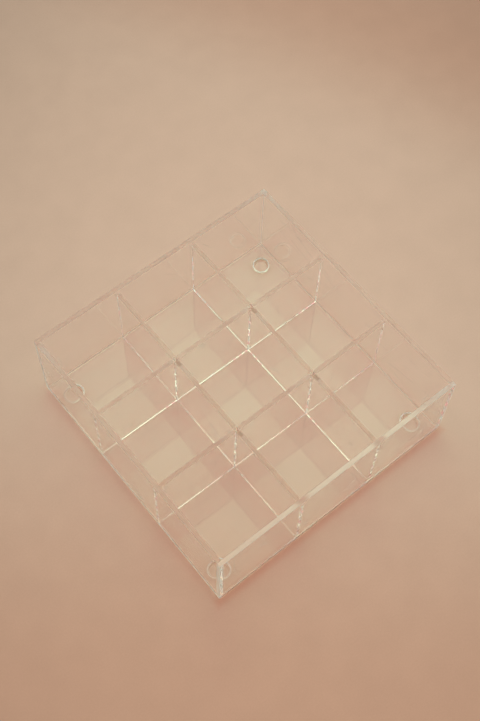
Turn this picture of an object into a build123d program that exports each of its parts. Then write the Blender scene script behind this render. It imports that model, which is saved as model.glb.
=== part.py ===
from build123d import *
import os

# Clear acrylic tray with a grid of open compartments, made from cemented flat sheet.
# Millimetres. +Z is up, +X runs along the front wall and +Y runs from the front wall to the back wall.
# The origin is the middle of the tray's footprint, on the surface that its feet stand on.

# Outer size of the sheet tray
tray_width = 180.0
tray_depth = 180.0
wall_height = 60.0

# Sheet thicknesses
wall_thickness = 3.0
base_thickness = 3.0
divider_thickness = 2.5

# Compartment grid
columns = 3
rows = 3
divider_drop = 5.0

# Clearances: the cement film in a joint, and the play of one divider in the slot of another
cement_film = 0.05
slot_side_clearance = 0.10
slot_end_clearance = 0.20

# Eased edges of the cut sheet: walls and base plate, and the tops of the dividers
edge_ease = 0.30
divider_ease = 0.20

# Bumper feet, stuck under the base plate
foot_diameter = 11.5
foot_height = 3.0
foot_edge_radius = 2.2
foot_inset_x = 12.3
foot_inset_y = 15.4
foot_adhesive = 0.05

# Levels above the resting surface
base_bottom = foot_height + foot_adhesive
floor_level = base_bottom + base_thickness
sheet_bottom = floor_level + cement_film
wall_top = floor_level + wall_height
divider_top = wall_top - divider_drop
divider_height = divider_top - sheet_bottom
lap_level = sheet_bottom + divider_height / 2

# Room between the walls
inner_width = tray_width - 2 * wall_thickness
inner_depth = tray_depth - 2 * wall_thickness


def block(x0, x1, y0, y1, z0, z1):
    """Box between two corners."""
    size = (x1 - x0, y1 - y0, z1 - z0)
    return Pos((x0 + x1) / 2, (y0 + y1) / 2, (z0 + z1) / 2) * Box(*size)


def edges_at(solid, axis, place, tolerance=1e-4):
    """Edges of a solid whose middle lies at one place along an axis."""
    return [e for e in solid.edges() if abs(getattr(e @ 0.5, axis) - place) < tolerance]


def grid_lines(span, cells):
    """Centre lines of the dividers that share a span evenly between cells."""
    cell = (span - (cells - 1) * divider_thickness) / cells
    return [-span / 2 + i * (cell + divider_thickness) - divider_thickness / 2 for i in range(1, cells)]


column_lines = grid_lines(inner_width, columns)
row_lines = grid_lines(inner_depth, rows)


def base_plate():
    """Floor sheet under the walls, with its lower edges and its corners eased."""
    plate = block(-tray_width / 2, tray_width / 2, -tray_depth / 2, tray_depth / 2, base_bottom, floor_level)
    corners = plate.edges().filter_by(Axis.Z)
    plate = chamfer(corners, edge_ease)
    return chamfer(edges_at(plate, "Z", base_bottom), edge_ease)


def full_width_wall(side):
    """Front wall (side -1) or back wall (side +1), over the whole width of the tray."""
    outer = side * tray_depth / 2
    inner = side * (tray_depth / 2 - wall_thickness)
    wall = block(-tray_width / 2, tray_width / 2, min(outer, inner), max(outer, inner), sheet_bottom, wall_top)
    corners = [e for e in wall.edges().filter_by(Axis.Z) if abs((e @ 0.5).Y - outer) < edge_ease / 2]
    wall = chamfer(corners, edge_ease)
    return chamfer(edges_at(wall, "Z", wall_top), edge_ease)


def between_wall(side):
    """Left wall (side -1) or right wall (side +1), cemented between the front and back walls."""
    outer = side * tray_width / 2
    inner = side * (tray_width / 2 - wall_thickness)
    reach = inner_depth / 2 - cement_film
    wall = block(min(outer, inner), max(outer, inner), -reach, reach, sheet_bottom, wall_top)
    top = [e for e in edges_at(wall, "Z", wall_top) if abs((e @ 0.5).Y) < reach / 2]
    return chamfer(top, edge_ease)


def slot(x, y, z0, z1, along_x):
    """Cutter for the slot that a crossing divider sits in."""
    half = divider_thickness / 2 + slot_side_clearance
    through = divider_thickness
    if along_x:
        return block(x - through, x + through, y - half, y + half, z0, z1)
    return block(x - half, x + half, y - through, y + through, z0, z1)


def divider_sheet(x0, x1, y0, y1):
    """Blank for a divider, with the two long edges of its top eased."""
    blank = block(x0, x1, y0, y1, sheet_bottom, divider_top)
    top = [e for e in edges_at(blank, "Z", divider_top) if e.length > divider_thickness * 2]
    return chamfer(top, divider_ease)


def column_divider(x):
    """Divider that runs front to back, slotted from its top edge for each row divider."""
    reach = inner_depth / 2 - cement_film
    half = divider_thickness / 2
    sheet = divider_sheet(x - half, x + half, -reach, reach)
    for y in row_lines:
        sheet -= slot(x, y, lap_level - slot_end_clearance / 2, divider_top + edge_ease, along_x=True)
    return sheet.solid()


def row_divider(y):
    """Divider that runs left to right, slotted from its bottom edge for each column divider."""
    reach = inner_width / 2 - cement_film
    half = divider_thickness / 2
    sheet = divider_sheet(-reach, reach, y - half, y + half)
    for x in column_lines:
        sheet -= slot(x, y, sheet_bottom - edge_ease, lap_level + slot_end_clearance / 2, along_x=False)
    return sheet.solid()


def foot(x, y):
    """Clear bumper with a flat face on top for its adhesive and a rounded lower edge."""
    disc = Pos(x, y, foot_height / 2) * Cylinder(foot_diameter / 2, foot_height)
    return fillet(edges_at(disc, "Z", 0), foot_edge_radius)


parts = {
    "base_plate": base_plate(),
    "front_wall": full_width_wall(-1),
    "back_wall": full_width_wall(1),
    "left_wall": between_wall(-1),
    "right_wall": between_wall(1),
}
for number, x in enumerate(column_lines, 1):
    parts[f"column_divider_{number}"] = column_divider(x)
for number, y in enumerate(row_lines, 1):
    parts[f"row_divider_{number}"] = row_divider(y)
for end, sy in (("front", -1), ("back", 1)):
    for hand, sx in (("left", -1), ("right", 1)):
        foot_x = sx * (tray_width / 2 - foot_inset_x)
        foot_y = sy * (tray_depth / 2 - foot_inset_y)
        parts[f"foot_{end}_{hand}"] = foot(foot_x, foot_y)

os.makedirs("parts", exist_ok=True)
for name, shape in parts.items():
    export_step(shape, f"parts/{name}.step")
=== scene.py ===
import math

import bpy
from mathutils import Matrix, Vector


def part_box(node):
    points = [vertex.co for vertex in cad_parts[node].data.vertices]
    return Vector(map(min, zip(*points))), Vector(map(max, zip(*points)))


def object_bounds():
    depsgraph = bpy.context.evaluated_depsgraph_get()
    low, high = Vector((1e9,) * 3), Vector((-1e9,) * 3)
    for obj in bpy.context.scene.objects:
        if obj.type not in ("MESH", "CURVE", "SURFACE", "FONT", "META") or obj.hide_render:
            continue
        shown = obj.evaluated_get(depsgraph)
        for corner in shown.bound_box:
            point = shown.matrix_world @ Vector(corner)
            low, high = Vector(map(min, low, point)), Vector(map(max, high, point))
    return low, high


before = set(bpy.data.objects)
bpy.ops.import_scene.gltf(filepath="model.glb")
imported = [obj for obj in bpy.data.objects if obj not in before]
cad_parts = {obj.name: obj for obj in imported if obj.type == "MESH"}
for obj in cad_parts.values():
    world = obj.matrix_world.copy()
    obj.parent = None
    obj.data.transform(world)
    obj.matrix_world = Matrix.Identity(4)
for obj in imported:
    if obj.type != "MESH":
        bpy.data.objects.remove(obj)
cad_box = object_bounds()

MM = 0.001

# Camera, fitted to the tray's edges in the photograph: its place in metres, the way it looks
# and the way that is level and to its right
CAMERA_PLACE = Vector((-0.2141, -0.2409, 0.69775))
CAMERA_LOOK = Vector((0.3003, 0.3429, -0.8901))
CAMERA_LEVEL = Vector((0.7769, -0.6293, 0.0197))
LENS_MM = 59.19
SENSOR_MM = 36.0
CLIP_START = 0.01

# Table top
TABLE_SIDE = 6.0
TABLE_GAP = 0.02 * MM
TABLE_COLOUR = (0.637, 0.448, 0.356)
PAINTED_WARM_LIGHT = (0.547, 0.322, 0.237)      # painted light: the board's colour where the room's warmer light takes over
TABLE_ROUGHNESS = 0.9
WARM_NEAR = (0.04, -0.20)               # painted warm light towards the camera, metres along the line of sight
WARM_CORNER = (0.22, 0.36)              # painted warm light, metres towards the far right
WARM_CORNER_WAY = (0.90, 0.44, 0.0)
WARM_CORNER_SHARE = 0.8
PAINTED_FALLOFF = 1.2                     # painted light falloff: share of the colour lost per square metre
PAINTED_SIDE_FALLOFF = 2.4                      # the same painted falloff to the left and right of the line below
BRIGHT_LINE = 0.02
TABLE_DARKEST = 0.55
GRAIN = ((900.0, 0.018), (45.0, 0.020)) # scale and depth of its fine grain and of its mottle
GRAIN_SPAN = (0.3, 0.7)                 # stretch of the noise that they use
SHADE_REACH = 5.6 * MM                  # painted shadow: the table is redder close to the tray's edge
SHADE_INSIDE = 5.0 * MM
SHADE_REST = 0.3                        # share of that at the other sides than the front
SHADE_TINT = (0.97, 0.83, 0.79)
NO_TINT = (1.0, 1.0, 1.0)

# Light: a room of even walls, dimmer on the camera's side, under a dim ceiling, and one
# bright cool patch that the sheets mirror
ROOM_COLOUR = (1.02, 1.31, 1.23)
ROOM_RADIANCE = (0.50, 1.15)
CEILING_COLOUR = (1.15, 0.56, 0.53)
CEILING_START = (50.0, 58.0)            # degrees of elevation
WINDOW_COLOUR = (0.58, 1.60, 0.98)
WINDOW_AZIMUTH = 41.0                   # from +Y towards +X
WINDOW_ELEVATION = 56.0
WINDOW_CORE = 3.0
WINDOW_REACH = 25.0

# Clear sheet
ACRYLIC_IOR = 1.49
ACRYLIC_TINT = (0.995, 0.995, 0.995)
ACRYLIC_PASSES = (0.62, 0.50, 0.38)     # what its mass lets through, over the depth below
SHEET_DENSITY = {                       # per metre; the walls differ only as painted shade on their rims, most on the back wall
    "base_plate": 8.0,
    "front_wall": 0.4,
    "left_wall": 0.6,
    "right_wall": 0.8,
    "back_wall": 2.2,
}
DIVIDER_DENSITY = 2.4
EDGE_DEPTH = 0.35 * MM
END_ROUGHNESS = 0.60                    # sawn ends of the front and back walls
BASE_ROUGHNESS = 0.30                   # sawn edges of the base plate
# painted shadow on the base plate's front edge, darker and redder
PAINTED_EDGE_SHADE = (0.60, 0.33, 0.30)
RIM_ROUGHNESS = {"front_wall": 0.50, "back_wall": 0.38, "left_wall": 0.38, "right_wall": 0.38}
DIVIDER_ROUGHNESS = 0.28
# painted shade on the tops of all sheets but the front wall
RIM_SHADE_TINT = (0.995, 0.92, 0.92)
# darker marks on the tops of the column dividers
DARK_MARK = (1.4 * MM, 5.6 * MM)            # stretch of a column divider's top in front of each crossing
DARK_MARK_TINT = (0.60, 0.45, 0.39)
UNDERSIDE_ROUGHNESS = 0.02
RIM_COAT_IOR = 2.15
RIM_COAT_ROUGHNESS = 0.15
RIM_COAT_DIM = (2.0 * MM, 6.5 * MM)     # its polish comes back between these distances from a divider
RIM_COAT_END = (0.050, 0.080)           # and fades out between these places along the front
WAVE_SCALE = 22.0
WAVE_HEIGHT = 0.010 * MM
WEAR_SHIFT = 7.0                        # moves the pattern from sheet to sheet
HAIR_SCALE = 55.0
HAIR_STRETCH = (1.0, 0.16, 1.0)
HAIR_WIDTH = 0.012
HAIR_PATCHES = (70.0, 0.56)             # scale of the patches that have hairlines, and their limit
HAIR_ROUGHNESS = 0.20

# Cement in the joints
PATCH_DEPTH = 0.01 * MM
SEAT_DEPTH = 0.06 * MM
SEAT_MARGIN = 0.15 * MM
DRY_STRIP = 0.07 * MM                   # along each divider's foot, where the cement didn't reach
DRY_WANDER = 0.06 * MM
DRY_SCALE = 90.0
DRY_ROUGHNESS = 0.40
# painted warm light in the bright line along each divider's foot, on the dry strip
DRY_SEAM_LIGHT_TINT = (1.00, 0.90, 0.70)
BUBBLE_PITCH = 7.5 * MM
BUBBLE_WIDTH = 1.7 * MM
BUBBLE_HEIGHT = 3.0 * MM
NO_BUBBLES = 0.001 * MM                 # a width that doesn't show
UNEVEN = 0.55                           # how far the bubbles and gaps stray from an even row
SLOT_MARGIN = 0.105 * MM
DASH_PITCH = 13.0 * MM
DASH_SHARE = 0.25                       # half of a gap, as a share of the pitch
OPEN_ROUGHNESS = 0.45                   # of both faces inside a bubble or a gap

# Brown speck on the floor of the back left compartment
SPECK_PLACE = (-0.0625, 0.0351, 0.00605)
SPECK_WIDTH = 1.3 * MM
SPECK_COLOUR = (0.75, 0.52, 0.45)

# Bumper feet
BUMPER_TINT = (0.98, 0.97, 0.95)
# painted shade that dims the bright ring at each bumper's rim
BUMPER_EDGE_SHADE = (0.82, 0.69, 0.55)
BUMPER_EDGE = 2.2 * MM                  # width of its rounded and hazy rim
BUMPER_IOR = 1.47
BUMPER_ROUGHNESS = (0.05, 0.42)

WALLS = ("front_wall", "back_wall", "left_wall", "right_wall")
COLUMN_DIVIDERS = ("column_divider_1", "column_divider_2")
ROW_DIVIDERS = ("row_divider_1", "row_divider_2")
DIVIDERS = COLUMN_DIVIDERS + ROW_DIVIDERS
FEET = ("foot_front_left", "foot_front_right", "foot_back_left", "foot_back_right")
FILM_OUTPUTS = {"Filled": "Float", "Open": "Float"}
FAR = 1.0                               # half size that keeps a box's faces out of the way


def linear(colour):
    """Colour as a shader socket takes it."""
    return (*colour, 1.0)


def cosine(degrees):
    return math.cos(math.radians(degrees))


def sine(degrees):
    return math.sin(math.radians(degrees))


def middle_and_half(node):
    """Middle and half size of a node's box."""
    low, high = (Vector(corner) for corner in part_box(node))
    return (low + high) / 2, (high - low) / 2


def make_camera():
    """Camera at the photograph's place and angle."""
    data = bpy.data.cameras.new("camera")
    data.lens = LENS_MM
    data.sensor_width = SENSOR_MM
    data.clip_start = CLIP_START
    look = CAMERA_LOOK.normalized()
    right = (CAMERA_LEVEL - look * CAMERA_LEVEL.dot(look)).normalized()
    up = right.cross(look)
    camera = bpy.data.objects.new("camera", data)
    camera.matrix_world = Matrix((
        (right.x, up.x, -look.x, CAMERA_PLACE.x),
        (right.y, up.y, -look.y, CAMERA_PLACE.y),
        (right.z, up.z, -look.z, CAMERA_PLACE.z),
        (0, 0, 0, 1),
    ))
    bpy.context.scene.collection.objects.link(camera)
    bpy.context.scene.camera = camera


class Graph:
    """Short way to add nodes to one tree and to link them."""

    def __init__(self, tree):
        self.nodes, self.links = tree.nodes, tree.links

    def feed(self, socket, value):
        """Links an output to a socket, or sets a plain value."""
        if isinstance(value, bpy.types.NodeSocket):
            self.links.new(value, socket)
        elif value is not None:
            socket.default_value = value

    def feed_all(self, node, values):
        for name, value in values.items():
            self.feed(node.inputs[name], value)
        return node.outputs

    def math(self, operation, a, b=None):
        node = self.nodes.new("ShaderNodeMath")
        node.operation = operation
        self.feed(node.inputs[0], a)
        self.feed(node.inputs[1], b)
        return node.outputs[0]

    def vector(self, operation, a, b=None):
        node = self.nodes.new("ShaderNodeVectorMath")
        node.operation = operation
        self.feed(node.inputs[0], a)
        self.feed(node.inputs["Scale" if operation == "SCALE" else 1], b)
        return node.outputs["Value" if operation in ("DOT_PRODUCT", "LENGTH") else "Vector"]

    def largest(self, values):
        """Largest of several values."""
        top = values[0]
        for value in values[1:]:
            top = self.math("MAXIMUM", top, value)
        return top

    def join(self, x, y, z):
        node = self.nodes.new("ShaderNodeCombineXYZ")
        for socket, value in zip(node.inputs, (x, y, z)):
            self.feed(socket, value)
        return node.outputs[0]

    def split(self, vector):
        node = self.nodes.new("ShaderNodeSeparateXYZ")
        self.feed(node.inputs[0], vector)
        return node.outputs

    def ramp(self, value, low, high, to_low=0.0, to_high=1.0, kind="SMOOTHSTEP"):
        """Value mapped from one range to another, and held at its ends."""
        node = self.nodes.new("ShaderNodeMapRange")
        node.interpolation_type = kind
        names = ("Value", "From Min", "From Max", "To Min", "To Max")
        return self.feed_all(node, dict(zip(names, (value, low, high, to_low, to_high))))["Result"]

    def blend(self, share, first, second):
        """Colour that goes from the first to the second."""
        node = self.nodes.new("ShaderNodeMix")
        node.data_type = "RGBA"
        self.feed(node.inputs["Factor"], share)
        for socket, colour in zip((node.inputs[6], node.inputs[7]), (first, second)):
            self.feed(socket, colour if isinstance(colour, bpy.types.NodeSocket) else linear(colour))
        return node.outputs[2]

    def noise(self, place, scale, detail=2.0):
        node = self.nodes.new("ShaderNodeTexNoise")
        return self.feed_all(node, {"Vector": place, "Scale": scale, "Detail": detail})[0]

    def beads(self, along, pitch):
        """Distance to the nearest of a row of uneven points."""
        node = self.nodes.new("ShaderNodeTexVoronoi")
        node.voronoi_dimensions = "1D"
        self.feed_all(node, {"Scale": 1.0, "Randomness": UNEVEN, "W": self.math("DIVIDE", along, pitch)})
        return self.math("MULTIPLY", node.outputs["Distance"], pitch)

    def place(self):
        """Place on the piece, in metres."""
        return self.nodes.new("ShaderNodeTexCoord").outputs["Object"]

    def group(self, tree, values):
        """Instance of a node group with its values."""
        node = self.nodes.new("ShaderNodeGroup")
        node.node_tree = tree
        return self.feed_all(node, values)


def new_material(name):
    """Empty node material, its graph and its output."""
    material = bpy.data.materials.new(name)
    material.use_nodes = True
    material.node_tree.nodes.clear()
    graph = Graph(material.node_tree)
    return material, graph, graph.nodes.new("ShaderNodeOutputMaterial").inputs


def new_group(name, inputs, outputs):
    """Node group with named sockets, its graph and its two ends."""
    group = bpy.data.node_groups.new(name, "ShaderNodeTree")
    for side, sockets in (("INPUT", inputs), ("OUTPUT", outputs)):
        for label, kind in sockets.items():
            group.interface.new_socket(label, in_out=side, socket_type="NodeSocket" + kind)
    graph = Graph(group)
    given = graph.nodes.new("NodeGroupInput").outputs
    return group, graph, given, graph.nodes.new("NodeGroupOutput").inputs


def box_room(g, given):
    """Offset from a box's middle, and the least distance to its faces, positive inside."""
    offset = g.vector("SUBTRACT", g.place(), given["Middle"])
    x, y, z = g.split(g.vector("SUBTRACT", given["Half"], g.vector("ABSOLUTE", offset)))
    return offset, g.math("MINIMUM", g.math("MINIMUM", x, y), z)


def feed_film(g, result, inside, outside):
    """Outputs of a film of cement, from inside the film and from outside its bubbles or gaps."""
    g.feed(result["Filled"], g.math("MULTIPLY", inside, outside))
    g.feed(result["Open"], g.math("MULTIPLY", inside, g.math("SUBTRACT", 1.0, outside)))


def make_joint_group():
    """Cement between two sheets: where it fills the patch, and where its bubbles leave it open."""
    inputs = {"Middle": "Vector", "Half": "Vector", "Wander": "Float",
              "Bubble Pitch": "Float", "Bubble Width": "Float", "Bubble Height": "Float"}
    group, g, given, result = new_group("cement_joint", inputs, FILM_OUTPUTS)
    offset, room = box_room(g, given)
    wobble = g.math("SUBTRACT", g.noise(g.place(), DRY_SCALE), 0.5)
    inside = g.math("GREATER_THAN", g.math("ADD", room, g.math("MULTIPLY", wobble, given["Wander"])), 0.0)
    x, y, z = g.split(offset)
    across = g.vector("LENGTH", g.join(x, y, 0.0))
    wide = g.math("DIVIDE", across, given["Bubble Width"])
    tall = g.math("DIVIDE", g.beads(z, given["Bubble Pitch"]), given["Bubble Height"])
    outside = g.math("GREATER_THAN", g.vector("LENGTH", g.join(wide, tall, 0.0)), 0.5)
    feed_film(g, result, inside, outside)
    return group


def make_slot_group():
    """Cement that crept into the slots of a crossing: where it fills them, and where it left gaps."""
    inputs = {"Middle": "Vector", "Half": "Vector", "Pitch": "Float", "Gap": "Float"}
    group, g, given, result = new_group("slot_cement", inputs, FILM_OUTPUTS)
    offset, room = box_room(g, given)
    inside = g.math("GREATER_THAN", room, 0.0)
    outside = g.math("GREATER_THAN", g.beads(g.split(offset)[2], given["Pitch"]), given["Gap"])
    feed_film(g, result, inside, outside)
    return group


def make_seat_group():
    """Adhesive of one bumper foot: 1 inside the round patch under the base plate."""
    inputs = {"Middle": "Vector", "Radius": "Float"}
    group, g, given, result = new_group("foot_seat", inputs, {"Filled": "Float"})
    x, y, z = g.split(g.vector("SUBTRACT", g.place(), given["Middle"]))
    near = g.math("LESS_THAN", g.vector("LENGTH", g.join(x, y, 0.0)), given["Radius"])
    level = g.math("LESS_THAN", g.math("ABSOLUTE", z), SEAT_DEPTH)
    g.feed(result["Filled"], g.math("MULTIPLY", near, level))
    return group


def make_edge_group():
    """Finish of the cut edges of a sheet: at its chosen sides, and along its top."""
    inputs = {"Middle": "Vector", "Half": "Vector", "Depth": "Float", "Sides": "Float", "Top": "Float"}
    outputs = {"Roughness": "Float", "Side": "Float", "Rim": "Float", "Under": "Float"}
    group, g, given, result = new_group("cut_edges", inputs, outputs)
    offset = g.vector("SUBTRACT", g.place(), given["Middle"])
    x, y, z = g.split(g.vector("SUBTRACT", given["Half"], g.vector("ABSOLUTE", offset)))
    side = g.math("LESS_THAN", g.math("MINIMUM", x, y), given["Depth"])
    above = g.math("GREATER_THAN", g.split(offset)[2], 0.0)
    rim = g.math("MULTIPLY", above, g.math("LESS_THAN", z, given["Depth"]))
    under = g.math("MULTIPLY", g.math("SUBTRACT", 1.0, above), g.math("LESS_THAN", z, PATCH_DEPTH))
    side_rough = g.math("MULTIPLY", side, given["Sides"])
    rough = g.math("MAXIMUM", side_rough, g.math("MULTIPLY", rim, given["Top"]))
    for name, value in (("Roughness", rough), ("Side", side), ("Rim", rim), ("Under", under)):
        g.feed(result[name], value)
    return group


def make_wear_group():
    """Faint waves of the sheet and fine hairlines on it."""
    outputs = {"Normal": "Vector", "Hair": "Float"}
    group, g, given, result = new_group("sheet_wear", {"Offset": "Vector"}, outputs)
    place = g.vector("ADD", g.place(), given["Offset"])
    bump = g.nodes.new("ShaderNodeBump")
    g.feed_all(bump, {"Height": g.noise(place, WAVE_SCALE, 1.0), "Distance": WAVE_HEIGHT, "Strength": 1.0})
    g.feed(result["Normal"], bump.outputs[0])
    hairs = g.nodes.new("ShaderNodeTexVoronoi")
    hairs.feature = "DISTANCE_TO_EDGE"
    g.feed_all(hairs, {"Vector": g.vector("MULTIPLY", place, HAIR_STRETCH), "Scale": HAIR_SCALE})
    fine = g.math("LESS_THAN", hairs.outputs["Distance"], HAIR_WIDTH)
    scale, limit = HAIR_PATCHES
    patches = g.math("GREATER_THAN", g.noise(place, scale), limit)
    g.feed(result["Hair"], g.math("MULTIPLY", fine, patches))
    return group


def contact(node, other, dry=0.0):
    """Middle and half size of the patch where a piece faces its neighbour across the cement."""
    low_a, high_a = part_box(node)
    low_b, high_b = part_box(other)
    low = [max(a, b) for a, b in zip(low_a, low_b)]
    high = [min(a, b) for a, b in zip(high_a, high_b)]
    axis = min(range(3), key=lambda i: high[i] - low[i])
    face = high_a[axis] if low_b[axis] > low_a[axis] else low_a[axis]
    if dry:
        thin = min((i for i in range(3) if i != axis), key=lambda i: high[i] - low[i])
        low[thin] += dry
    low[axis], high[axis] = face - PATCH_DEPTH, face + PATCH_DEPTH
    middle = [(a + b) / 2 for a, b in zip(low, high)]
    half = [(b - a) / 2 for a, b in zip(low, high)]
    return middle, half


def joints():
    """Every cemented pair, the dry strip beside it and the width of its bubbles."""
    for wall in WALLS:
        yield "base_plate", wall, 0.0, NO_BUBBLES
    for long in ("front_wall", "back_wall"):
        for short in ("left_wall", "right_wall"):
            yield long, short, 0.0, NO_BUBBLES
    for divider in DIVIDERS:
        columns = divider in COLUMN_DIVIDERS
        yield "base_plate", divider, DRY_STRIP, NO_BUBBLES
        yield "front_wall" if columns else "left_wall", divider, 0.0, BUBBLE_WIDTH
        yield "back_wall" if columns else "right_wall", divider, 0.0, NO_BUBBLES


def joint_films(g, node):
    """Cement of every joint that a sheet has."""
    for a, b, dry, bubble in joints():
        if node in (a, b):
            middle, half = contact(node, b if node == a else a, dry)
            values = {"Middle": middle, "Half": half, "Wander": DRY_WANDER if dry else 0.0,
                      "Bubble Pitch": BUBBLE_PITCH, "Bubble Width": bubble, "Bubble Height": BUBBLE_HEIGHT}
            yield g.group(cement_joint, values)


def slot_films(g, node):
    """Cement in the slots where a divider crosses others."""
    for other in ROW_DIVIDERS if node in COLUMN_DIVIDERS else COLUMN_DIVIDERS:
        mine, half = middle_and_half(node)
        its = middle_and_half(other)[0]
        row, column = (mine, its) if node in ROW_DIVIDERS else (its, mine)
        thin = min(half.x, half.y) + SLOT_MARGIN
        values = {"Middle": (column.x, row.y, mine.z), "Half": (thin, thin, half.z + SLOT_MARGIN),
                  "Pitch": DASH_PITCH, "Gap": DASH_PITCH * DASH_SHARE}
        yield g.group(slot_cement, values)


def seat_mask(g, foot, margin):
    """Adhesive of a foot."""
    middle, half = middle_and_half(foot)
    seat = {"Middle": middle + Vector((0.0, 0.0, half.z)), "Radius": half.x - margin}
    return g.group(foot_seat, seat)["Filled"]


def sheet_edges(g, node):
    """Finish of a sheet's cut edges."""
    middle, half = middle_and_half(node)
    sawn = {"base_plate": (half.x, half.y), "front_wall": (half.x, FAR), "back_wall": (half.x, FAR)}
    values = {"Middle": middle, "Half": (*sawn.get(node, (FAR, FAR)), half.z), "Depth": EDGE_DEPTH,
              "Sides": BASE_ROUGHNESS if node == "base_plate" else END_ROUGHNESS,
              "Top": 0.0 if node == "base_plate" else RIM_ROUGHNESS.get(node, DIVIDER_ROUGHNESS)}
    return g.group(cut_edges, values)


def front_edge(g, node):
    """Edge of a sheet that looks to the front."""
    middle, half = middle_and_half(node)
    middle.y += FAR - half.y
    return g.group(cut_edges, {"Middle": middle, "Half": (FAR, FAR, half.z), "Depth": EDGE_DEPTH})["Side"]


def rim_polish(g):
    """Polish of the front wall's rim, gone near its right end and dim where dividers meet the wall."""
    along = g.split(g.place())[0]
    polish = g.ramp(along, *RIM_COAT_END, 1.0, 0.0)
    for divider in COLUMN_DIVIDERS:
        away = g.math("ABSOLUTE", g.math("SUBTRACT", along, middle_and_half(divider)[0].x))
        polish = g.math("MULTIPLY", polish, g.ramp(away, *RIM_COAT_DIM))
    return polish


def dark_mark_mask(g, edges):
    """Top of a column divider in front of each crossing, where it is darker."""
    along = g.split(g.place())[1]
    near, far = DARK_MARK
    marks = []
    for row in ROW_DIVIDERS:
        ahead = g.math("SUBTRACT", middle_and_half(row)[0].y, along)
        started = g.math("GREATER_THAN", ahead, near)
        marks.append(g.math("MULTIPLY", started, g.math("LESS_THAN", ahead, far)))
    return g.math("MULTIPLY", edges["Rim"], g.largest(marks))


def acrylic_material(node):
    """Clear sheet. Its alpha opens the faces that cement joins to a neighbour."""
    material, g, output = new_material("clear_acrylic_" + node)
    shader = g.nodes.new("ShaderNodeBsdfPrincipled")
    g.feed_all(shader, {"IOR": ACRYLIC_IOR, "Transmission Weight": 1.0})
    edges = sheet_edges(g, node)
    wear = g.group(sheet_wear, {"Offset": middle_and_half(node)[0] * WEAR_SHIFT})
    films = list(joint_films(g, node))
    if node in DIVIDERS:
        films += slot_films(g, node)
    filled = [film["Filled"] for film in films]
    opened = g.largest([film["Open"] for film in films])
    under_rough = {"base_plate": UNDERSIDE_ROUGHNESS, **dict.fromkeys(DIVIDERS, DRY_ROUGHNESS)}
    rough = g.largest([
        edges["Roughness"],
        g.math("MULTIPLY", wear["Hair"], HAIR_ROUGHNESS),
        g.math("MULTIPLY", opened, OPEN_ROUGHNESS),
        g.math("MULTIPLY", edges["Under"], under_rough.get(node, 0.0)),
    ])
    if node == "base_plate":
        filled += [seat_mask(g, foot, 0.0) for foot in FEET]
        # painted shadow on the base plate's front edge
        colour = g.blend(front_edge(g, node), ACRYLIC_TINT, PAINTED_EDGE_SHADE)
        away = g.vector("LENGTH", g.vector("SUBTRACT", g.place(), SPECK_PLACE))
        colour = g.blend(g.math("LESS_THAN", away, SPECK_WIDTH / 2), colour, SPECK_COLOUR)
    else:
        # painted shade on the rims, except the front wall's
        colour = g.blend(edges["Rim"], ACRYLIC_TINT, ACRYLIC_TINT if node == "front_wall" else RIM_SHADE_TINT)
    if node in COLUMN_DIVIDERS:
        # darker mark on the top in front of each crossing
        colour = g.blend(dark_mark_mask(g, edges), colour, DARK_MARK_TINT)
    # dry strip under each divider, tinted as painted warm light
    if node in DIVIDERS:
        colour = g.blend(edges["Under"], colour, DRY_SEAM_LIGHT_TINT)
    if node == "front_wall":
        g.feed_all(shader, {"Coat IOR": RIM_COAT_IOR, "Coat Roughness": RIM_COAT_ROUGHNESS,
                            "Coat Weight": g.math("MULTIPLY", edges["Rim"], rim_polish(g))})
    g.feed_all(shader, {"Base Color": colour, "Roughness": rough, "Normal": wear["Normal"],
                        "Alpha": g.math("SUBTRACT", 1.0, g.largest(filled))})
    mass = g.nodes.new("ShaderNodeVolumeAbsorption")
    density = SHEET_DENSITY.get(node, DIVIDER_DENSITY)
    g.feed_all(mass, {"Color": linear(ACRYLIC_PASSES), "Density": density})
    g.feed(output["Surface"], shader.outputs[0])
    g.feed(output["Volume"], mass.outputs[0])
    return material


def bumper_material(foot):
    """Clear soft bumper, a little hazy, with painted shade on its rounded rim, open where its adhesive
    joins it to the base plate.
    """
    material, g, output = new_material("clear_bumper_" + foot)
    shader = g.nodes.new("ShaderNodeBsdfPrincipled")
    middle, half = middle_and_half(foot)
    x, y, z = g.split(g.vector("SUBTRACT", g.place(), middle))
    out = g.vector("LENGTH", g.join(x, y, 0.0))
    edge = g.ramp(out, half.x - BUMPER_EDGE, half.x - BUMPER_EDGE / 2)
    alpha = g.math("SUBTRACT", 1.0, seat_mask(g, foot, SEAT_MARGIN))
    # painted shade on the bumper's rounded rim
    g.feed_all(shader, {"Base Color": g.blend(edge, BUMPER_TINT, BUMPER_EDGE_SHADE), "IOR": BUMPER_IOR,
                        "Roughness": g.ramp(edge, 0.0, 1.0, *BUMPER_ROUGHNESS, kind="LINEAR"),
                        "Transmission Weight": 1.0, "Alpha": alpha})
    g.feed(output["Surface"], shader.outputs[0])
    return material


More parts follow.
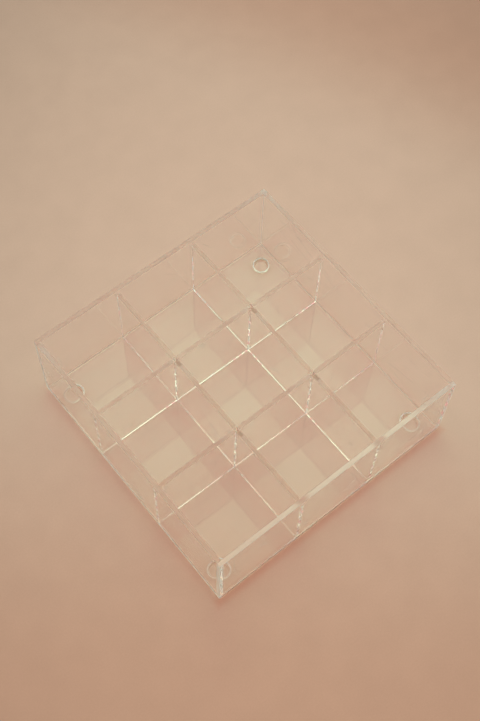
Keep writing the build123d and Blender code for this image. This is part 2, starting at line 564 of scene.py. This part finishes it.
def board_colour_with_painted_light(g, place):
    """Board's colour with painted light: warmer towards the camera and the far right, and a painted
    reddish shadow against the tray.
    """
    sight = Vector((CAMERA_LOOK.x, CAMERA_LOOK.y, 0.0)).normalized()
    near = g.ramp(g.vector("DOT_PRODUCT", place, sight), *WARM_NEAR)
    outward = g.vector("DOT_PRODUCT", place, WARM_CORNER_WAY)
    corner = g.ramp(outward, *WARM_CORNER, to_high=WARM_CORNER_SHARE)
    # painted warm light: warmer towards the camera and the far right
    colour = g.blend(g.math("MAXIMUM", near, corner), TABLE_COLOUR, PAINTED_WARM_LIGHT)
    x, y, z = g.split(g.vector("ABSOLUTE", place))
    tray_half = cad_box[1][0]
    outside = g.math("SUBTRACT", g.math("MAXIMUM", x, y), tray_half)
    close = g.math("MULTIPLY", g.ramp(outside, SHADE_REACH, 0.0), g.ramp(outside, -SHADE_INSIDE, 0.0))
    front = g.ramp(g.split(place)[1], SHADE_INSIDE - tray_half, -tray_half, SHADE_REST, 1.0)
    # painted shadow: redder close to the tray's edge, most at the front
    shade = g.blend(g.math("MULTIPLY", close, front), NO_TINT, SHADE_TINT)
    return g.vector("MULTIPLY", colour, shade)


def painted_falloff_and_grain(g, place):
    """Share of the board's colour: painted light that falls off outwards and to both sides, with its
    grain.
    """
    far = g.vector("LENGTH", place)
    fade = g.math("SUBTRACT", 1.0, g.math("MULTIPLY", g.math("MULTIPLY", far, far), PAINTED_FALLOFF))
    aside = g.math("SUBTRACT", g.vector("DOT_PRODUCT", place, CAMERA_LEVEL), BRIGHT_LINE)
    fade = g.math("SUBTRACT", fade, g.math("MULTIPLY", g.math("MULTIPLY", aside, aside), PAINTED_SIDE_FALLOFF))
    fade = g.math("MAXIMUM", fade, TABLE_DARKEST)
    for scale, depth in GRAIN:
        grain = g.ramp(g.noise(place, scale), *GRAIN_SPAN, 1.0 - depth, 1.0 + depth, "LINEAR")
        fade = g.math("MULTIPLY", fade, grain)
    return fade


def table_material():
    """Board with a faint grain, and painted light and shade in its colour."""
    material, g, output = new_material("table_board")
    shader = g.nodes.new("ShaderNodeBsdfPrincipled")
    place = g.place()
    colour = g.vector("SCALE", board_colour_with_painted_light(g, place), painted_falloff_and_grain(g, place))
    g.feed_all(shader, {"Base Color": colour, "Roughness": TABLE_ROUGHNESS, "Specular IOR Level": 0.0})
    g.feed(output["Surface"], shader.outputs[0])
    return material


def make_table():
    """Wide board that the feet stand on."""
    mesh = bpy.data.meshes.new("table")
    half = TABLE_SIDE / 2
    corners = [(x, y, -TABLE_GAP) for x, y in ((-half, -half), (half, -half), (half, half), (-half, half))]
    mesh.from_pydata(corners, [], [(0, 1, 2, 3)])
    table = bpy.data.objects.new("table", mesh)
    bpy.context.scene.collection.objects.link(table)
    mesh.materials.append(table_material())


def make_light():
    """Room and window, as light from all round."""
    world = bpy.data.worlds.new("room")
    bpy.context.scene.world = world
    world.use_nodes = True
    g = Graph(world.node_tree)
    flat = (sine(WINDOW_AZIMUTH), cosine(WINDOW_AZIMUTH), 0.0)
    toward = (*(part * cosine(WINDOW_ELEVATION) for part in flat[:2]), sine(WINDOW_ELEVATION))
    direction = g.vector("NORMALIZE", g.nodes.new("ShaderNodeTexCoord").outputs["Generated"])
    facing = g.vector("DOT_PRODUCT", direction, toward)
    window = g.ramp(facing, cosine(WINDOW_REACH), cosine(WINDOW_CORE))
    x, y, z = g.split(direction)
    across = g.vector("DOT_PRODUCT", g.vector("NORMALIZE", g.join(x, y, 0.0)), flat)
    walls = g.ramp(across, -1.0, 1.0, *ROOM_RADIANCE, kind="LINEAR")
    above = g.ramp(z, *(sine(angle) for angle in CEILING_START))
    room = g.blend(above, g.vector("SCALE", ROOM_COLOUR, walls), CEILING_COLOUR)
    light = g.vector("ADD", room, g.vector("SCALE", WINDOW_COLOUR, window))
    g.feed_all(g.nodes["Background"], {"Color": light, "Strength": 1.0})


def set_light_paths():
    """Enough bounces for light that runs inside the sheets, with no blur in what it casts."""
    paths = bpy.context.scene.cycles
    paths.max_bounces = 160
    paths.transmission_bounces = 144
    paths.glossy_bounces = 144
    paths.transparent_max_bounces = 64
    paths.blur_glossy = 0.0


bpy.context.scene.view_settings.view_transform = "Standard"
set_light_paths()
make_camera()
make_table()
make_light()
cement_joint = make_joint_group()
slot_cement = make_slot_group()
foot_seat = make_seat_group()
cut_edges = make_edge_group()
sheet_wear = make_wear_group()
for name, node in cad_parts.items():
    node.data.materials.clear()
    node.data.materials.append(bumper_material(name) if name in FEET else acrylic_material(name))
